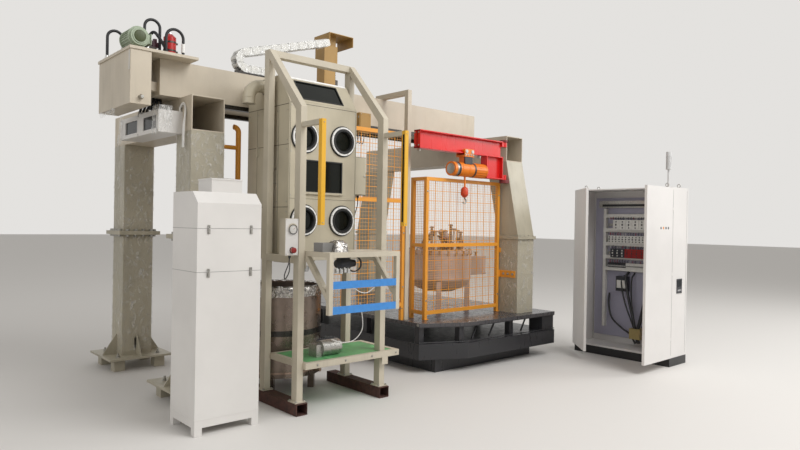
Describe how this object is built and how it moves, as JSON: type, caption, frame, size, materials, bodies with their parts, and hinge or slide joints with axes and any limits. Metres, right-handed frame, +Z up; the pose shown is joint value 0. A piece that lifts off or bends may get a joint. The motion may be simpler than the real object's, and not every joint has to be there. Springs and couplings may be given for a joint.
{
  "type": "gantry die casting machine",
  "caption": "Die casting machine under a square-tube gantry, with a glove booth, furnace platform, red jib hoist, orange fences, filter cabinet and open electric cabinet.",
  "frame": {"origin": "floor level, under the middle of the whole machine seen from above", "axes": "+X along the main beam towards the electric cabinet, +Y from the operator side to the back, +Z up"},
  "size_m": [5.865, 4.809, 3.7283],
  "materials": {
    "gantry_paint": "satin",
    "beam_paint": "satin",
    "dark_steel": "matte",
    "white_paint": "satin",
    "motor_green": "satin",
    "valve_steel": "satin",
    "accumulator_red": "gloss",
    "hose_rubber": "matte",
    "chain_plastic": "matte",
    "mustard_paint": "satin",
    "booth_paint": "satin",
    "dark_glass": "gloss",
    "ring_white": "gloss",
    "skid_primer": "matte",
    "mat_green": "matte",
    "blue_tape": "satin",
    "curtain_yellow": "satin",
    "station_paint": "satin",
    "tank_steel": "satin",
    "fence_orange": "satin",
    "platform_black": "satin",
    "jib_red": "gloss",
    "bearing_red": "satin",
    "hoist_orange": "gloss",
    "cabinet_white": "satin",
    "panel_parts": "matte",
    "lamp_grey": "gloss"
  },
  "bodies": {
    "base": {"left_front_column": "gantry_paint", "left_rear_column": "gantry_paint", "left_cross_beam": "gantry_paint", "main_beam": "beam_paint", "beam_rails": "dark_steel", "right_cross_beam": "gantry_paint", "right_front_column": "gantry_paint", "right_rear_column": "gantry_paint", "oil_tank": "white_paint", "pump_motor": "motor_green", "valve_block": "valve_steel", "accumulator": "accumulator_red", "hydraulic_hoses": "hose_rubber", "instrument_box": "white_paint", "energy_chain": "chain_plastic", "drive_box": "mustard_paint", "booth_front": "booth_paint", "booth_slope": "booth_paint", "booth_left_side": "booth_paint", "booth_right_side": "booth_paint", "booth_back": "booth_paint", "booth_roof": "booth_paint", "booth_floor": "booth_paint", "booth_glass": "dark_glass", "port_rings": "ring_white", "exhaust_elbows": "booth_paint", "side_box": "booth_paint", "left_station_frame": "station_paint", "right_station_frame": "station_paint", "station_bars": "station_paint", "station_skids": "skid_primer", "matted_step": "mat_green", "shelf_frame": "station_paint", "blue_bands": "blue_tape", "light_curtains": "curtain_yellow", "button_box": "station_paint", "step_motor": "valve_steel", "dip_tank": "tank_steel", "guard_rail": "fence_orange", "tall_fence": "fence_orange", "front_fence": "fence_orange", "fence_return": "fence_orange", "tall_post": "beam_paint", "platform_deck": "platform_black", "platform_base": "platform_black", "furnace_pot": "tank_steel", "furnace_piping": "tank_steel", "jib_bearings": "bearing_red", "filter_body": "white_paint", "filter_head": "white_paint", "cabinet_body": "cabinet_white", "cabinet_panel": "panel_parts", "signal_lamp": "lamp_grey"},
    "jib": {"jib_boom": "jib_red"},
    "hoist": {"hoist": "hoist_orange"},
    "near_door": {"near_door": "cabinet_white"},
    "far_door": {"far_door": "cabinet_white"},
    "manipulator": {"carriage": "mustard_paint", "mast_bracket": "mustard_paint"}
  },
  "joints": [
    {"name": "jib_swing", "type": "hinge", "parent": "base", "child": "jib", "pos_m": [1.4325, -0.7455, 2.445], "axis": [0, 0, 1], "range_deg": [0, 85]},
    {"name": "hoist_travel", "type": "slide", "parent": "jib", "child": "hoist", "axis": [1, 0, 0], "range_m": [-0.5, 0]},
    {"name": "manipulator_travel", "type": "slide", "parent": "base", "child": "manipulator", "axis": [1, 0, 0], "range_m": [0, 1.75]},
    {"name": "near_door_hinge", "type": "hinge", "parent": "base", "child": "near_door", "pos_m": [2.4925, -2.3895, 1.1], "axis": [0, 0, 1], "range_deg": [-90, 30]},
    {"name": "far_door_hinge", "type": "hinge", "parent": "base", "child": "far_door", "pos_m": [2.4925, -1.1055, 1.1], "axis": [0, 0, 1], "range_deg": [-35, 45]}
  ]
}
